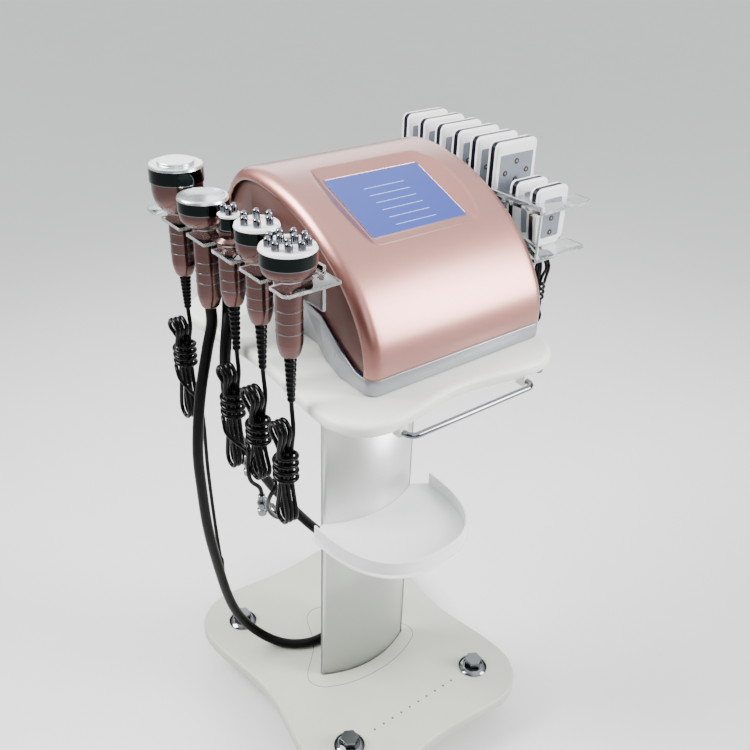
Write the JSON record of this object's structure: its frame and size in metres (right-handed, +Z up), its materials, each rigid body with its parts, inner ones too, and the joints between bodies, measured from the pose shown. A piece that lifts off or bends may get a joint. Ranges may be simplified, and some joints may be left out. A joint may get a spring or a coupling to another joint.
{
  "type": "cavitation slimming machine on trolley",
  "caption": "Desk-top slimming machine with a sloping touch screen, corded handpieces in a clear holder and pads in a clear comb, on a column trolley with casters, a tray and a towel bar.",
  "frame": {"origin": "on the floor, under the middle of the box round everything but the cords and their plugs", "axes": "+Z up; -Y is the front, where the user stands and the screen faces; +X is the side with the pads"},
  "size_m": [0.613, 0.5783, 1.041],
  "materials": {
    "rose_shell": "pearl painted, glossy",
    "rose_panel": "pearl painted, satin",
    "silver_case": "silver painted, satin",
    "ivory_shelf": "smooth moulded",
    "base_paint": "smooth moulded",
    "white_plastic": "smooth moulded",
    "column_aluminium": "brushed extrusion",
    "chrome": "polished",
    "black_plastic": "moulded",
    "black_rubber": "glossy cable jacket",
    "wheel_rubber": "smooth tread",
    "screen_glass": "lit panel under glass",
    "clear_acrylic": "clear, polished edges",
    "circuit_board": "solder mask",
    "steel": "plated sheet",
    "grey_plastic": "moulded"
  },
  "bodies": {
    "trolley_and_machine": {"base_plate": "base_paint", "column": "column_aluminium", "shelf": "ivory_shelf", "tray": "white_plastic", "towel_bar": "chrome", "shelf_knob": "chrome", "caster_bolt_front_left": "chrome", "caster_bolt_front_right": "chrome", "caster_bolt_back_left": "chrome", "caster_bolt_back_right": "chrome", "lower_case": "silver_case", "upper_shell": "rose_shell", "side_cover_left": "rose_panel", "side_cover_right": "rose_panel", "touch_screen": "screen_glass", "rear_panel": "silver_case", "fan_frame": "black_plastic", "main_board": "circuit_board", "power_supply": "steel", "vacuum_pump": "grey_plastic", "handpiece_holder": "clear_acrylic", "pad_comb": "clear_acrylic", "vacuum_hose": "black_rubber"},
    "fork_front_left": {"caster_fork_front_left": "black_plastic"},
    "wheel_front_left": {"caster_wheel_front_left": "wheel_rubber"},
    "fork_front_right": {"caster_fork_front_right": "black_plastic"},
    "wheel_front_right": {"caster_wheel_front_right": "wheel_rubber"},
    "fork_back_left": {"caster_fork_back_left": "black_plastic"},
    "wheel_back_left": {"caster_wheel_back_left": "wheel_rubber"},
    "fork_back_right": {"caster_fork_back_right": "black_plastic"},
    "wheel_back_right": {"caster_wheel_back_right": "wheel_rubber"},
    "fan_rotor": {"fan_rotor": "grey_plastic"},
    "power_switch": {"power_switch": "black_plastic"},
    "handpiece_cavitation": {"handle_cavitation": "rose_shell", "head_cavitation": "chrome", "cord_cavitation": "black_rubber"},
    "handpiece_vacuum": {"handle_vacuum": "rose_shell", "head_vacuum": "chrome"},
    "handpiece_three_pole": {"handle_three_pole": "rose_shell", "head_three_pole": "chrome", "cord_three_pole": "black_rubber", "plug_three_pole": "chrome"},
    "handpiece_six_pole": {"handle_six_pole": "rose_shell", "head_six_pole": "chrome", "cord_six_pole": "black_rubber", "plug_six_pole": "chrome"},
    "handpiece_twelve_pole": {"handle_twelve_pole": "rose_shell", "head_twelve_pole": "chrome", "cord_twelve_pole": "black_rubber", "plug_twelve_pole": "chrome"},
    "large_pad_1_body": {"large_pad_1": "white_plastic"},
    "large_pad_2_body": {"large_pad_2": "white_plastic"},
    "large_pad_3_body": {"large_pad_3": "white_plastic"},
    "large_pad_4_body": {"large_pad_4": "white_plastic"},
    "large_pad_5_body": {"large_pad_5": "white_plastic"},
    "large_pad_6_body": {"large_pad_6": "white_plastic"},
    "small_pad_1_body": {"small_pad_1": "white_plastic", "cord_small_pad_1": "black_rubber"},
    "small_pad_2_body": {"small_pad_2": "white_plastic", "cord_small_pad_2": "black_rubber"}
  },
  "joints": [
    {"name": "swivel_front_left", "type": "hinge", "parent": "trolley_and_machine", "child": "fork_front_left", "pos_m": [-0.1867, -0.18, 0.055], "axis": [0, 0, 1], "continuous": true},
    {"name": "roll_front_left", "type": "hinge", "parent": "fork_front_left", "child": "wheel_front_left", "pos_m": [-0.1727, -0.18, 0.023], "axis": [0, 1, 0], "continuous": true},
    {"name": "swivel_front_right", "type": "hinge", "parent": "trolley_and_machine", "child": "fork_front_right", "pos_m": [0.1053, -0.18, 0.055], "axis": [0, 0, 1], "continuous": true},
    {"name": "roll_front_right", "type": "hinge", "parent": "fork_front_right", "child": "wheel_front_right", "pos_m": [0.1193, -0.18, 0.023], "axis": [0, 1, 0], "continuous": true},
    {"name": "swivel_back_left", "type": "hinge", "parent": "trolley_and_machine", "child": "fork_back_left", "pos_m": [-0.1867, 0.18, 0.055], "axis": [0, 0, 1], "continuous": true},
    {"name": "roll_back_left", "type": "hinge", "parent": "fork_back_left", "child": "wheel_back_left", "pos_m": [-0.1727, 0.18, 0.023], "axis": [0, 1, 0], "continuous": true},
    {"name": "swivel_back_right", "type": "hinge", "parent": "trolley_and_machine", "child": "fork_back_right", "pos_m": [0.1053, 0.18, 0.055], "axis": [0, 0, 1], "continuous": true},
    {"name": "roll_back_right", "type": "hinge", "parent": "fork_back_right", "child": "wheel_back_right", "pos_m": [0.1193, 0.18, 0.023], "axis": [0, 1, 0], "continuous": true},
    {"name": "fan_spin", "type": "hinge", "parent": "trolley_and_machine", "child": "fan_rotor", "pos_m": [0.0893, 0.17521, 0.91451], "axis": [0, 1, 0], "continuous": true},
    {"name": "switch_rock", "type": "hinge", "parent": "trolley_and_machine", "child": "power_switch", "pos_m": [-0.1037, 0.18451, 0.91451], "axis": [1, 0, 0], "range_deg": [-8, 8]},
    {"name": "lift_cavitation", "type": "slide", "parent": "trolley_and_machine", "child": "handpiece_cavitation", "axis": [0, 0, 1], "range_m": [0, 0.1]},
    {"name": "lift_vacuum", "type": "slide", "parent": "trolley_and_machine", "child": "handpiece_vacuum", "axis": [0, 0, 1], "range_m": [0, 0.1]},
    {"name": "lift_three_pole", "type": "slide", "parent": "trolley_and_machine", "child": "handpiece_three_pole", "axis": [0, 0, 1], "range_m": [0, 0.1]},
    {"name": "lift_six_pole", "type": "slide", "parent": "trolley_and_machine", "child": "handpiece_six_pole", "axis": [0, 0, 1], "range_m": [0, 0.1]},
    {"name": "lift_twelve_pole", "type": "slide", "parent": "trolley_and_machine", "child": "handpiece_twelve_pole", "axis": [0, 0, 1], "range_m": [0, 0.1]},
    {"name": "slide_large_pad_1", "type": "slide", "parent": "trolley_and_machine", "child": "large_pad_1_body", "axis": [1, 0, 0], "range_m": [0, 0.1]},
    {"name": "slide_large_pad_2", "type": "slide", "parent": "trolley_and_machine", "child": "large_pad_2_body", "axis": [1, 0, 0], "range_m": [0, 0.1]},
    {"name": "slide_large_pad_3", "type": "slide", "parent": "trolley_and_machine", "child": "large_pad_3_body", "axis": [1, 0, 0], "range_m": [0, 0.1]},
    {"name": "slide_large_pad_4", "type": "slide", "parent": "trolley_and_machine", "child": "large_pad_4_body", "axis": [1, 0, 0], "range_m": [0, 0.1]},
    {"name": "slide_large_pad_5", "type": "slide", "parent": "trolley_and_machine", "child": "large_pad_5_body", "axis": [1, 0, 0], "range_m": [0, 0.1]},
    {"name": "slide_large_pad_6", "type": "slide", "parent": "trolley_and_machine", "child": "large_pad_6_body", "axis": [1, 0, 0], "range_m": [0, 0.1]},
    {"name": "slide_small_pad_1", "type": "slide", "parent": "trolley_and_machine", "child": "small_pad_1_body", "axis": [1, 0, 0], "range_m": [0, 0.1]},
    {"name": "slide_small_pad_2", "type": "slide", "parent": "trolley_and_machine", "child": "small_pad_2_body", "axis": [1, 0, 0], "range_m": [0, 0.1]}
  ]
}
